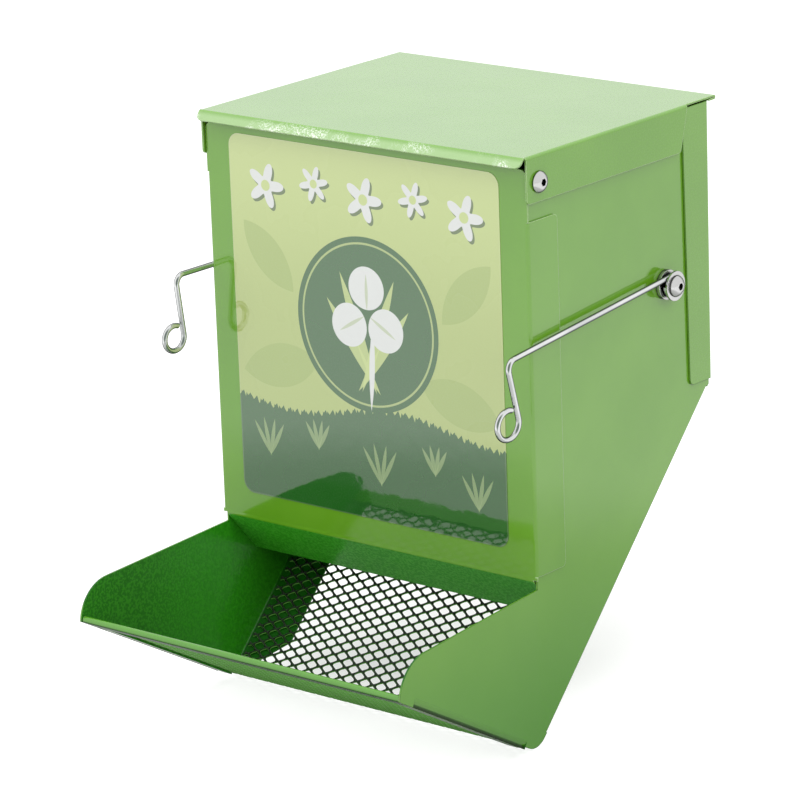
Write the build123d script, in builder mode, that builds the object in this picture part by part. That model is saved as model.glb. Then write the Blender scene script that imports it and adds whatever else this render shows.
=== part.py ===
from build123d import *
import math
import os

# Hay feeder box for small animals: a folded sheet-steel hopper with a V-shaped trough below it.
# The trough reaches through the bars of a cage, the front face bears on the bars, and two wire
# hooks hold it there. The lid lifts at the back and turns about two screws near its front.
#
# Frame, in millimetres: X to the right, Y to the back, Z up. The origin is the middle of the front
# face that bears on the cage bars, on the label's outer surface. Heights are measured from there.

# ---- Sheet metal -------------------------------------------------------------------------------
sheet = 0.7  # thickness of the coated steel sheet
crease = 1.2  # outer radius of a sharp brake bend
soft_bend = 3.4  # outer radius of the hand-turned bend under each cheek
lap = 0.1  # clearance between sheets that lie on each other
edge_gap = 0.3  # clearance of a sheet's edge inside the bend of another

# ---- Hopper ------------------------------------------------------------------------------------
body_width = 150.0  # over the outer faces of the side panels
body_depth = 111.0  # front face to back face
panel_top = 74.0  # top edge of the front and side panels
panel_foot = -80.0  # fold line at the bottom of the front panel
front_flange_width = 17.3
front_flange_drop = 19.2  # below the panel's top edge
front_flange_lift = 1.9  # above the panel's lower fold
front_tab_lift = 0.6  # the flat face beside the baffle ends this far above the fold
panel_corner = 3.0  # rounding of the front panel's top corners
back_flange_top_width = 16.6
back_flange_foot_width = 14.0
back_flange_standoff = 0.15  # clearance of the back panel's side flanges over the side panels
back_flange_foot = -29.6
back_flange_corner = 2.5
fold_relief = 3.0  # height of the notch beside a folded edge

# ---- Throat and trough -------------------------------------------------------------------------
slope_angle = 45.7  # rear wall of the V against the horizontal
floor_angle = 29.7  # front wall of the V against the horizontal
fold_y = -1.4  # line where the outer faces of the two walls would meet
fold_z = -146.2
fold_radius = 8.0
fold_inset_slope = 0.3  # the flat edge round the fold runs this far inside the bent edges
fold_inset_floor = 0.9
floor_length = 92.0  # from the fold line to the front of the lip
baffle_length = 24.0  # lower edge of the front panel, turned into the hopper
baffle_angle = 48.9  # below the horizontal
cheek_drop_in = 3.2  # the cheek's top edge leaves the hopper this far below the front panel's fold
cheek_fall = 2.8  # degrees, the top edge drops towards the nose
cheek_nose_y = -66.5  # where the nose's curve starts
cheek_flare = 1.25  # degrees, the cheeks open outwards in front of the hopper
slope_flange_width = 20.3
slope_mitre = 10.0  # bevel of the slope flange's lower end
flange_start = 9.0  # distance from the fold line to the ends of the bent edges
floor_flange_width = 8.0

# ---- Expanded metal base -----------------------------------------------------------------------
mesh_sheet = 1.0  # thickness of the expanded metal
mesh_cell_long = 15.8  # long way of the diamond
mesh_cell_short = 8.4  # short way of the diamond
mesh_strand = 1.6
mesh_rear_length = 75.0  # from the fold line up the slope
mesh_side_gap = 0.4

# ---- Lip strip over the front edge of the mesh ---------------------------------------------------
lip_height = 2.6
lip_depth = 8.0
lip_side_gap = 0.2

# ---- Label ---------------------------------------------------------------------------------------
label_sheet = 0.2
label_margin = 11.2  # plain metal beside the label
label_height = 140.6
label_lift = 1.1  # the label's middle above the origin
label_corner = 5.0
label_shift = -0.6  # stuck on by hand, a little to the left

# ---- Lid -----------------------------------------------------------------------------------------
lid_side_gap = 1.1  # between a side panel and the lid's flange, filled by a spacer
lid_rise = 4.9  # top of the lid over the side panels
lid_front = -2.1  # fold line of the front lip
lid_lip = 4.3
lid_lip_angle = 51.5  # below the horizontal
lid_lip_corner = 2.6
lid_lip_inset = 0.5  # the lip ends this far inside the flanges' outer faces
lid_flange_setback = 1.15  # front edge of the flanges behind the lip's fold line
lid_relief = 0.2  # gap between the lip and that edge
lid_flange_depth = 17.2
lid_flange_rear_top = 14.3  # the flange's slanted rear edge, measured from the back face
lid_flange_rear_foot = 18.9
lid_flange_corner = 1.6
lid_overhang = 5.1  # tongue behind the back face
tongue_step = 1.2  # the tongue is narrower than the flanges by this much on each side
hem_length = 4.0  # rear edge of the tongue, folded back under itself
hem_height = 1.7
lid_rest_gap = 0.6

# ---- Fasteners -----------------------------------------------------------------------------------
screw_radius = 2.0
screw_clearance = 0.1
head_radius = 4.0
head_height = 2.2
socket_flats = 2.5
socket_depth = 1.3
screw_tail = 1.0  # thread that shows past the nut
nut_flats = 7.0
nut_height = 3.2
nut_clearance = 0.05
lid_pivot_inset = 5.8  # behind the front face
lid_pivot_drop = 10.0  # below the top of the lid
lid_washer_radius = 4.2
hook_pivot_inset = 28.2  # in front of the back face
hook_pivot_z = 13.3
hook_washer_radius = 5.65
hook_inner_washer = 1.75
hook_outer_washer = 0.8
hook_play = 0.25  # on each side of the wire between its washers

# ---- Wire hooks ----------------------------------------------------------------------------------
wire_radius = 1.1
hook_eye_radius = 3.45
hook_eye_turn = 275.0
hook_corner_radius = 3.6
# Bent by hand, so the two differ a little.
right_arm = 100.9  # pivot to the corner
right_droop = 4.9  # degrees below the horizontal at rest
right_splay = 0.35  # degrees, the arm spreads outwards towards its loop
right_leg = 22.7
right_lean = 10.2  # degrees the leg leans off square, back towards the hopper
right_loop_radius = 5.45
right_loop_turn = 303.0
right_twist = -7.0  # degrees, the loop turned outwards about its leg
left_arm = 99.7
left_droop = -0.3
left_splay = 0.8
left_leg = 23.5
left_lean = 8.1
left_loop_radius = 4.9
left_loop_turn = 301.0
left_twist = 5.0

# ---- Places worked out from the sizes above --------------------------------------------------------
half_width = body_width / 2
inner_half = half_width - sheet
front_face = label_sheet
front_inside = front_face + sheet
back_face = front_face + body_depth
back_inside = back_face - sheet
front_half = half_width + lap + sheet
back_half = half_width + back_flange_standoff + sheet
lid_half = half_width + lid_side_gap + sheet
lid_top = panel_top + lid_rise
lid_under = lid_top - sheet
lid_pivot_y = front_face + lid_pivot_inset
lid_pivot_z = lid_top - lid_pivot_drop
hook_pivot_y = back_face - hook_pivot_inset
side_front = front_inside + edge_gap

slope = math.radians(slope_angle)
floor = math.radians(floor_angle)
up_slope = Vector(0, math.cos(slope), math.sin(slope))
up_floor = Vector(0, -math.cos(floor), math.sin(floor))
fold = Vector(0, fold_y, fold_z)


def on_slope(along, depth):
    """Point (y, z) at a distance up the rear wall and a depth inside its outer face."""
    y = fold_y + along * math.cos(slope) - depth * math.sin(slope)
    return (y, fold_z + along * math.sin(slope) + depth * math.cos(slope))


def on_floor(along, depth):
    """Point (y, z) at a distance up the front wall and a depth inside its outer face."""
    y = fold_y - along * math.cos(floor) + depth * math.sin(floor)
    return (y, fold_z + along * math.sin(floor) + depth * math.cos(floor))


def slope_height(y, depth):
    """Height of the rear wall at y, a depth inside its outer face."""
    return fold_z + (y - fold_y) * math.tan(slope) + depth / math.cos(slope)


def cheek_flare_at(y):
    """How far a cheek stands outside the hopper's side at y."""
    return (side_front - y) * math.tan(math.radians(cheek_flare))


os.makedirs("parts", exist_ok=True)

# ---- Side panels: hopper side and trough cheek in one sheet -----------------------------------------
side_back = back_inside - edge_gap
side_corner = (side_back, slope_height(side_back, 0))
cheek_rise = panel_foot - cheek_drop_in
cheek_start = (side_front, cheek_rise)
cheek_drop = math.radians(cheek_fall)
cheek_nose = (cheek_nose_y, cheek_rise - (side_front - cheek_nose_y) * math.tan(cheek_drop))
cheek_heading = (-math.cos(cheek_drop), -math.sin(cheek_drop))
slope_run = (side_back - fold_y) / math.cos(slope) - 1.5 - flange_start
floor_run = floor_length - lip_depth - edge_gap - flange_start

fold_corner = math.pi - slope - floor
inner_fold = on_floor(
    (fold_inset_slope + fold_inset_floor * math.cos(fold_corner)) / math.sin(fold_corner),
    fold_inset_floor,
)
cheek_front = fold_y - floor_length
floor_start_y, floor_start_z = on_floor(flange_start, 0)
floor_start = Vector(half_width + cheek_flare_at(floor_start_y), floor_start_y, floor_start_z)
floor_end_y, floor_end_z = on_floor(flange_start + floor_run, 0)
floor_end = Vector(half_width + cheek_flare_at(floor_end_y), floor_end_y, floor_end_z)

with BuildPart() as right_side_panel:
    # Seen from above: straight along the hopper, then flaring outwards as the trough's cheek.
    with BuildSketch(Plane.XY.offset(fold_z)):
        with BuildLine():
            FilletPolyline(
                (half_width, side_back),
                (half_width, side_front),
                (half_width + cheek_flare_at(cheek_front), cheek_front),
                radius=40.0,
            )
            offset(amount=sheet, side=Side.RIGHT)
        make_face()
    extrude(amount=panel_top - fold_z)
    # Outline seen from the right.
    with BuildSketch(Plane(origin=(half_width + 5, 0, 0), x_dir=(0, 1, 0), z_dir=(1, 0, 0))):
        with BuildLine():
            Line((side_front, panel_top), cheek_start)
            Line(cheek_start, cheek_nose)
            TangentArc(cheek_nose, on_floor(floor_length, 0), tangent=cheek_heading)
            Line(on_floor(floor_length, 0), on_floor(flange_start, 0))
            Line(on_floor(flange_start, 0), on_floor(flange_start, fold_inset_floor))
            FilletPolyline(
                on_floor(flange_start, fold_inset_floor),
                inner_fold,
                on_slope(flange_start, fold_inset_slope),
                radius=fold_radius,
            )
            Line(on_slope(flange_start, fold_inset_slope), on_slope(flange_start, 0))
            Line(on_slope(flange_start, 0), side_corner)
            Line(side_corner, (side_back, panel_top))
            Line((side_back, panel_top), (side_front, panel_top))
        make_face()
    extrude(amount=-10, mode=Mode.INTERSECT)
    # Bent edges under the slope and under the floor: the flat edge gives way to a bend and a flange.
    slope_edge = Plane((half_width, *on_slope(flange_start, 0)), x_dir=(-1, 0, 0), z_dir=up_slope)
    floor_edge = Plane(floor_start, x_dir=(-1, 0, 0), z_dir=(floor_end - floor_start).normalized())
    for edge, side, bend, width, run in (
        (slope_edge, 1, crease, slope_flange_width, slope_run),
        (floor_edge, -1, soft_bend, floor_flange_width, floor_run),
    ):
        with BuildSketch(edge):
            with Locations((sheet / 2, side * bend / 2)):
                Rectangle(sheet, bend)
        extrude(amount=run, mode=Mode.SUBTRACT)
        sag = (bend - sheet) * (1 - math.sqrt(0.5))
        with BuildSketch(edge):
            with BuildLine():
                Line((width, 0), (bend, 0))
                SagittaArc((bend, 0), (0, side * bend), side * bend * (1 - math.sqrt(0.5)))
                Line((0, side * bend), (sheet, side * bend))
                SagittaArc((sheet, side * bend), (bend, side * sheet), -side * sag)
                Line((bend, side * sheet), (width, side * sheet))
                Line((width, side * sheet), (width, 0))
            make_face()
        extrude(amount=run)
    # The slope flange is mitred at the bottom, where the mesh turns into the trough.
    slope_face = Plane(slope_edge.origin, x_dir=(-1, 0, 0), z_dir=up_slope.cross(Vector(-1, 0, 0)))
    with BuildSketch(slope_face):
        with BuildLine():
            Polyline(
                (slope_flange_width - slope_mitre, 0),
                (slope_flange_width, 0),
                (slope_flange_width, -slope_mitre),
                (slope_flange_width - slope_mitre, 0),
            )
        make_face()
    extrude(amount=2 * sheet, both=True, mode=Mode.SUBTRACT)
    # Holes for the lid's screw and the hook's screw.
    with BuildSketch(Plane(origin=(half_width, 0, 0), x_dir=(0, 1, 0), z_dir=(1, 0, 0))):
        with Locations((lid_pivot_y, lid_pivot_z), (hook_pivot_y, hook_pivot_z)):
            Circle(screw_radius + screw_clearance)
    extrude(amount=-sheet, mode=Mode.SUBTRACT)
right_side_panel.part.label = "right_side_panel"
export_step(right_side_panel.part, "parts/right_side_panel.step")

with BuildPart() as left_side_panel:
    add(right_side_panel.part)
    mirror(about=Plane.YZ, mode=Mode.REPLACE)
left_side_panel.part.label = "left_side_panel"
export_step(left_side_panel.part, "parts/left_side_panel.step")

# ---- Front panel: face, two wrapped side flanges and the throat baffle --------------------------------
front_flange_y = front_face + front_flange_width
front_flange_top = panel_top - front_flange_drop
front_flange_foot = panel_foot + front_flange_lift
baffle_half = inner_half - edge_gap
baffle = math.radians(baffle_angle)
baffle_tip_y = front_face + baffle_length * math.cos(baffle)
baffle_tip_z = panel_foot - baffle_length * math.sin(baffle)

with BuildPart() as front_panel:
    # Side flanges folded back over the side panels.
    with BuildSketch(Plane.XY.offset(front_flange_foot)):
        with BuildLine():
            FilletPolyline(
                (-front_half, front_flange_y),
                (-front_half, front_face),
                (front_half, front_face),
                (front_half, front_flange_y),
                radius=crease,
            )
            offset(amount=sheet, side=Side.LEFT)
        make_face()
    extrude(amount=front_flange_top - front_flange_foot)
    flange_corners = front_panel.edges().filter_by(Axis.X).group_by(Axis.Y)[-1]
    fillet(flange_corners, radius=2.0)
    # The face runs on above the flanges and ends in rounded corners.
    with BuildSketch(Plane(origin=(0, front_face, 0), x_dir=(1, 0, 0), z_dir=(0, -1, 0))):
        with Locations((0, (front_flange_top + panel_top) / 2)):
            Rectangle(2 * front_half, panel_top - front_flange_top)
        with Locations((0, panel_foot + (front_flange_lift + front_tab_lift) / 2)):
            Rectangle(2 * front_half, front_flange_lift - front_tab_lift)
    extrude(amount=-sheet)
    fillet(front_panel.edges().filter_by(Axis.Y).group_by(Axis.Z)[-1], radius=panel_corner)
    # The lower edge turns into the hopper as the throat baffle.
    with BuildSketch(Plane.YZ.offset(-baffle_half)):
        with BuildLine():
            FilletPolyline(
                (front_face, front_flange_foot + 0.1),
                (front_face, panel_foot),
                (baffle_tip_y, baffle_tip_z),
                radius=crease,
            )
            offset(amount=sheet, side=Side.LEFT)
        make_face()
    extrude(amount=2 * baffle_half)
front_panel.part.label = "front_panel"
export_step(front_panel.part, "parts/front_panel.step")

# ---- Back panel: face, two wrapped side flanges and the leg down the slope ----------------------------
leg_depth = sheet + lap
leg_half = inner_half - mesh_side_gap
leg_fold_z = slope_height(back_face, leg_depth)
back_top = lid_under - lid_rest_gap
flange_front_top = back_face - back_flange_top_width
flange_front_foot = back_face - back_flange_foot_width

with BuildPart() as back_panel:
    # Side flanges folded forward over the side panels, standing off a little.
    with BuildSketch(Plane.XY.offset(back_flange_foot)):
        with BuildLine():
            FilletPolyline(
                (-back_half, flange_front_top),
                (-back_half, back_face),
                (back_half, back_face),
                (back_half, flange_front_top),
                radius=crease,
            )
            offset(amount=sheet, side=Side.RIGHT)
        make_face()
    extrude(amount=back_top - back_flange_foot)
    # The flanges narrow towards the bottom and have rounded lower corners.
    with BuildSketch(Plane.YZ.offset(-back_half)):
        with BuildLine():
            Line((flange_front_top, back_top), (back_face, back_top))
            Line((back_face, back_top), (back_face, back_flange_foot))
            FilletPolyline(
                (back_face, back_flange_foot),
                (flange_front_foot, back_flange_foot),
                (flange_front_top, back_top),
                radius=back_flange_corner,
            )
        make_face()
    extrude(amount=2 * back_half, mode=Mode.INTERSECT)
    # Between notches at both sides the face folds forward and runs down the slope.
    with BuildSketch(Plane.XZ.offset(-back_face)):
        with Locations((0, back_flange_foot + fold_relief / 2)):
            Rectangle(2 * leg_half + 2 * lap, fold_relief)
    extrude(amount=2 * sheet, both=True, mode=Mode.SUBTRACT)
    with BuildSketch(Plane.YZ.offset(-leg_half)):
        with BuildLine():
            FilletPolyline(
                (back_face, back_flange_foot + fold_relief),
                (back_face, leg_fold_z),
                on_slope(mesh_rear_length + lap, leg_depth),
                radius=crease,
            )
            offset(amount=sheet, side=Side.RIGHT)
        make_face()
    extrude(amount=2 * leg_half)
back_panel.part.label = "back_panel"
export_step(back_panel.part, "parts/back_panel.step")

# ---- Expanded metal base: one sheet, bent at the bottom, in two flat runs ------------------------------
fold_half_angle = math.radians((180 - slope_angle - floor_angle) / 2)
mesh_start = (leg_depth + mesh_sheet) / math.tan(fold_half_angle) + lap
rear_half = leg_half
front_mesh_half = half_width - soft_bend + 0.8
rear_run = mesh_rear_length - mesh_start
front_run = floor_length - sheet - 4 * lap - mesh_start
cell_inset = mesh_strand / 2 * math.hypot(mesh_cell_long, mesh_cell_short)
hole_scale = 1 - 2 * cell_inset / (mesh_cell_long * mesh_cell_short)
hole_long = mesh_cell_long / 2 * hole_scale
hole_short = mesh_cell_short / 2 * hole_scale

diamond = ((hole_long, 0), (0, hole_short), (-hole_long, 0), (0, -hole_short))

rear_plane = Plane(
    origin=(0, *on_slope(mesh_start, leg_depth)),
    x_dir=(1, 0, 0),
    z_dir=(0, -math.sin(slope), math.cos(slope)),
)
with BuildPart() as mesh_floor_rear:
    with BuildSketch(rear_plane):
        with Locations((0, rear_run / 2)):
            Rectangle(2 * rear_half, rear_run)
            across = int(2 * rear_half / mesh_cell_long)
            along = int(rear_run / mesh_cell_short)
            for columns, rows in ((across, along), (across - 1, along - 1)):
                with GridLocations(mesh_cell_long, mesh_cell_short, columns, rows):
                    Polygon(*diamond, mode=Mode.SUBTRACT)
    extrude(amount=mesh_sheet)
mesh_floor_rear.part.label = "mesh_floor_rear"
export_step(mesh_floor_rear.part, "parts/mesh_floor_rear.step")

front_plane = Plane(
    origin=(0, *on_floor(mesh_start, leg_depth)),
    x_dir=(1, 0, 0),
    z_dir=(0, math.sin(floor), math.cos(floor)),
)
with BuildPart() as mesh_floor_front:
    with BuildSketch(front_plane):
        with Locations((0, -front_run / 2)):
            Rectangle(2 * front_mesh_half, front_run)
            across = int(2 * front_mesh_half / mesh_cell_long)
            along = int(front_run / mesh_cell_short)
            for columns, rows in ((across, along), (across - 1, along - 1)):
                with GridLocations(mesh_cell_long, mesh_cell_short, columns, rows):
                    Polygon(*diamond, mode=Mode.SUBTRACT)
    extrude(amount=mesh_sheet)
mesh_floor_front.part.label = "mesh_floor_front"
export_step(mesh_floor_front.part, "parts/mesh_floor_front.step")

# ---- Lip strip: a channel closed over the cut front edge of the mesh -----------------------------------
lip_rear_y, lip_rear_z = on_floor(floor_length - lip_depth, 0)
lip_half = inner_half + cheek_flare_at(lip_rear_y) - lip_side_gap
with BuildPart() as lip_strip:
    with BuildSketch(Plane.YZ.offset(-lip_half)):
        with BuildLine():
            FilletPolyline(
                on_floor(floor_length - lip_depth, 0),
                on_floor(floor_length, 0),
                on_floor(floor_length, lip_height),
                on_floor(floor_length - lip_depth, lip_height),
                radius=crease,
            )
            offset(amount=sheet, side=Side.RIGHT)
        make_face()
    extrude(amount=2 * lip_half)
lip_strip.part.label = "lip_strip"
export_step(lip_strip.part, "parts/lip_strip.step")

# ---- Label on the front face ---------------------------------------------------------------------------
with BuildPart() as front_label:
    with BuildSketch(Plane(origin=(label_shift, 0, label_lift), x_dir=(1, 0, 0), z_dir=(0, -1, 0))):
        RectangleRounded(body_width - 2 * label_margin, label_height, label_corner)
    extrude(amount=-label_sheet)
front_label.part.label = "front_label"
export_step(front_label.part, "parts/front_label.step")

# ---- Lid: top, two side flanges, front lip and hemmed rear tongue ---------------------------------------
lid_flange_foot = lid_top - lid_flange_depth
flange_rear_y = back_face - lid_flange_rear_top
flange_rear_foot_y = back_face - lid_flange_rear_foot
tongue_half = lid_half - tongue_step
lid_rear = back_face + lid_overhang
lip_drop = math.radians(lid_lip_angle)
lip_tip_y = lid_front - lid_lip * math.cos(lip_drop)
lip_tip_z = lid_top - lid_lip * math.sin(lip_drop)
lid_lip_half = lid_half - lid_lip_inset
flange_front_y = lid_front + lid_flange_setback
lip_normal = (0, -math.sin(lip_drop), math.cos(lip_drop))

with BuildPart() as lid:
    # Top and side flanges.
    with BuildSketch(Plane.XZ.offset(-flange_front_y)):
        with BuildLine():
            FilletPolyline(
                (-lid_half, lid_flange_foot),
                (-lid_half, lid_top),
                (lid_half, lid_top),
                (lid_half, lid_flange_foot),
                radius=crease,
            )
            offset(amount=sheet, side=Side.RIGHT)
        make_face()
    extrude(amount=flange_front_y - flange_rear_y)
    # Side view of the flanges: slanted rear edges, rounded lower corners.
    with BuildSketch(Plane.YZ.offset(-lid_half)):
        with BuildLine():
            Line((flange_front_y, lid_top), (flange_rear_y, lid_top))
            FilletPolyline(
                (flange_rear_y, lid_top),
                (flange_rear_foot_y, lid_flange_foot),
                (flange_front_y, lid_flange_foot),
                (flange_front_y, lid_top),
                radius=lid_flange_corner,
            )
        make_face()
    extrude(amount=2 * lid_half, mode=Mode.INTERSECT)
    # The front lip spans the full width and is folded down; small gaps part it from the flanges.
    with BuildSketch(Plane.XY.offset(lid_top)):
        with Locations((0, flange_front_y)):
            Rectangle(2 * (lid_half - crease), 2 * lid_relief)
    extrude(amount=-sheet)
    with BuildSketch(Plane.YZ.offset(-lid_lip_half)):
        with BuildLine():
            FilletPolyline(
                (flange_front_y - lid_relief, lid_top),
                (lid_front, lid_top),
                (lip_tip_y, lip_tip_z),
                radius=crease,
            )
            offset(amount=sheet, side=Side.LEFT)
        make_face()
    extrude(amount=2 * lid_lip_half)
    fillet(lid.edges().filter_by(Axis((0, 0, 0), lip_normal)), radius=lid_lip_corner)
    # The rear tongue runs on behind the flanges and ends in a closed hem.
    with BuildSketch(Plane.YZ.offset(-tongue_half)):
        with BuildLine():
            FilletPolyline(
                (flange_rear_y - 2.0, lid_top),
                (lid_rear, lid_top),
                (lid_rear, lid_top - hem_height),
                (lid_rear - hem_length, lid_top - hem_height),
                radius=0.8,
            )
            offset(amount=sheet, side=Side.RIGHT)
        make_face()
    extrude(amount=2 * tongue_half)
    # Pivot holes through both flanges.
    with BuildSketch(Plane.YZ.offset(-lid_half)):
        with Locations((lid_pivot_y, lid_pivot_z)):
            Circle(screw_radius + screw_clearance)
    extrude(amount=2 * lid_half, mode=Mode.SUBTRACT)
lid.part.label = "lid"
export_step(lid.part, "parts/lid.step")

# ---- Fasteners: button-head socket screws, washers and nuts on both sides --------------------------------
lid_seat = lid_half + lap
hook_wire_x = half_width + hook_inner_washer + hook_play + wire_radius
hook_washer_x = hook_wire_x + wire_radius + hook_play
hook_seat = hook_washer_x + hook_outer_washer
screw_end = inner_half - nut_height - screw_tail
head_rim = 0.5
head_flat = 1.9
tip_bevel = 0.4

with BuildPart() as lid_pivot_screws:
    for side in (-1, 1):
        # Half profile turned about the screw's axis; local x points outwards.
        with BuildSketch(Plane((0, lid_pivot_y, lid_pivot_z), x_dir=(side, 0, 0), z_dir=(0, side, 0))):
            with BuildLine():
                Polyline(
                    (lid_seat + head_height, head_flat),
                    (lid_seat + head_height, 0),
                    (screw_end, 0),
                    (screw_end, screw_radius - tip_bevel),
                    (screw_end + tip_bevel, screw_radius),
                    (lid_seat, screw_radius),
                    (lid_seat, head_radius),
                    (lid_seat + head_rim, head_radius),
                )
                ThreePointArc(
                    (lid_seat + head_rim, head_radius),
                    (lid_seat + head_height * 0.8, head_radius * 0.75),
                    (lid_seat + head_height, head_flat),
                )
            make_face()
        revolve(axis=Axis((0, lid_pivot_y, lid_pivot_z), (1, 0, 0)))
        crown = (side * (lid_seat + head_height), lid_pivot_y, lid_pivot_z)
        with BuildSketch(Plane(crown, x_dir=(0, 1, 0), z_dir=(side, 0, 0))):
            RegularPolygon(socket_flats / 2, 6, major_radius=False)
        extrude(amount=-socket_depth, mode=Mode.SUBTRACT)
lid_pivot_screws.part.label = "lid_pivot_screws"
export_step(lid_pivot_screws.part, "parts/lid_pivot_screws.step")

with BuildPart() as hook_pivot_screws:
    for side in (-1, 1):
        with BuildSketch(Plane((0, hook_pivot_y, hook_pivot_z), x_dir=(side, 0, 0), z_dir=(0, side, 0))):
            with BuildLine():
                Polyline(
                    (hook_seat + head_height, head_flat),
                    (hook_seat + head_height, 0),
                    (screw_end, 0),
                    (screw_end, screw_radius - tip_bevel),
                    (screw_end + tip_bevel, screw_radius),
                    (hook_seat, screw_radius),
                    (hook_seat, head_radius),
                    (hook_seat + head_rim, head_radius),
                )
                ThreePointArc(
                    (hook_seat + head_rim, head_radius),
                    (hook_seat + head_height * 0.8, head_radius * 0.75),
                    (hook_seat + head_height, head_flat),
                )
            make_face()
        revolve(axis=Axis((0, hook_pivot_y, hook_pivot_z), (1, 0, 0)))
        crown = (side * (hook_seat + head_height), hook_pivot_y, hook_pivot_z)
        with BuildSketch(Plane(crown, x_dir=(0, 1, 0), z_dir=(side, 0, 0))):
            RegularPolygon(socket_flats / 2, 6, major_radius=False)
        extrude(amount=-socket_depth, mode=Mode.SUBTRACT)
hook_pivot_screws.part.label = "hook_pivot_screws"
export_step(hook_pivot_screws.part, "parts/hook_pivot_screws.step")

# Spacer between side panel and lid flange; it keeps the lid clear of the front and back flanges.
lid_washer = lid_half - sheet - lap - half_width
with BuildPart() as lid_pivot_washers:
    for side in (-1, 1):
        seat = (side * half_width, lid_pivot_y, lid_pivot_z)
        with BuildSketch(Plane(seat, x_dir=(0, 1, 0), z_dir=(side, 0, 0))):
            Circle(lid_washer_radius)
            Circle(screw_radius + screw_clearance, mode=Mode.SUBTRACT)
        extrude(amount=lid_washer)
lid_pivot_washers.part.label = "lid_pivot_washers"
export_step(lid_pivot_washers.part, "parts/lid_pivot_washers.step")

with BuildPart() as hook_inner_washers:
    for side in (-1, 1):
        seat = (side * half_width, hook_pivot_y, hook_pivot_z)
        with BuildSketch(Plane(seat, x_dir=(0, 1, 0), z_dir=(side, 0, 0))):
            Circle(hook_washer_radius)
            Circle(screw_radius + screw_clearance, mode=Mode.SUBTRACT)
        extrude(amount=hook_inner_washer)
hook_inner_washers.part.label = "hook_inner_washers"
export_step(hook_inner_washers.part, "parts/hook_inner_washers.step")

with BuildPart() as hook_outer_washers:
    for side in (-1, 1):
        seat = (side * hook_washer_x, hook_pivot_y, hook_pivot_z)
        with BuildSketch(Plane(seat, x_dir=(0, 1, 0), z_dir=(side, 0, 0))):
            Circle(hook_washer_radius)
            Circle(screw_radius + screw_clearance, mode=Mode.SUBTRACT)
        extrude(amount=hook_outer_washer)
hook_outer_washers.part.label = "hook_outer_washers"
export_step(hook_outer_washers.part, "parts/hook_outer_washers.step")

with BuildPart() as lid_pivot_nuts:
    for side in (-1, 1):
        seat = (side * inner_half, lid_pivot_y, lid_pivot_z)
        with BuildSketch(Plane(seat, x_dir=(0, 1, 0), z_dir=(-side, 0, 0))):
            RegularPolygon(nut_flats / 2, 6, major_radius=False)
            Circle(screw_radius + nut_clearance, mode=Mode.SUBTRACT)
        extrude(amount=nut_height)
lid_pivot_nuts.part.label = "lid_pivot_nuts"
export_step(lid_pivot_nuts.part, "parts/lid_pivot_nuts.step")

with BuildPart() as hook_pivot_nuts:
    for side in (-1, 1):
        seat = (side * inner_half, hook_pivot_y, hook_pivot_z)
        with BuildSketch(Plane(seat, x_dir=(0, 1, 0), z_dir=(-side, 0, 0))):
            RegularPolygon(nut_flats / 2, 6, major_radius=False)
            Circle(screw_radius + nut_clearance, mode=Mode.SUBTRACT)
        extrude(amount=nut_height)
hook_pivot_nuts.part.label = "hook_pivot_nuts"
export_step(hook_pivot_nuts.part, "parts/hook_pivot_nuts.step")

# ---- Wire hooks: eye, long arm, corner, leg and a nearly closed loop ------------------------------------
# Local x runs forwards along the arm, local y down towards the loop, local z outwards.
arm_foot = (0, -hook_eye_radius)

droop = math.radians(right_droop)
splay = math.radians(right_splay)
lean = math.radians(right_lean)
leg_x = right_arm - right_leg * math.sin(lean)
leg_y = -hook_eye_radius + right_leg * math.cos(lean)
arm_dir = Vector(math.sin(splay), -math.cos(splay) * math.cos(droop), -math.cos(splay) * math.sin(droop))
hook_face = Plane(
    origin=(hook_wire_x, hook_pivot_y, hook_pivot_z),
    x_dir=arm_dir,
    z_dir=arm_dir.cross(Vector(0, math.sin(droop), -math.cos(droop))),
)
with BuildPart() as right_hook:
    with BuildLine(hook_face) as right_wire:
        CenterArc((0, 0), hook_eye_radius, -90 - hook_eye_turn, hook_eye_turn)
        FilletPolyline(arm_foot, (right_arm, -hook_eye_radius), (leg_x, leg_y), radius=hook_corner_radius)
    with BuildSketch(Plane(right_wire.line @ 0, z_dir=right_wire.line % 0)):
        Circle(wire_radius)
    sweep(path=right_wire.line)
    # The loop's plane is turned about the leg.
    leg_end = hook_face.from_local_coords(Vector(leg_x, leg_y, 0))
    leg_dir = hook_face.from_local_coords(Vector(leg_x - math.sin(lean), leg_y + math.cos(lean), 0)) - leg_end
    ahead = hook_face.from_local_coords(Vector(leg_x + math.cos(lean), leg_y + math.sin(lean), 0)) - leg_end
    ahead = ahead.rotate(Axis((0, 0, 0), leg_dir), -right_twist)
    loop_face = Plane(leg_end + ahead * right_loop_radius, x_dir=-ahead, z_dir=ahead.cross(leg_dir))
    with BuildLine(loop_face) as right_loop:
        CenterArc((0, 0), right_loop_radius, 0, -right_loop_turn)
    with BuildSketch(Plane(right_loop.line @ 0, z_dir=right_loop.line % 0)):
        Circle(wire_radius)
    sweep(path=right_loop.line)
right_hook.part.label = "right_hook"
export_step(right_hook.part, "parts/right_hook.step")

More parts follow.
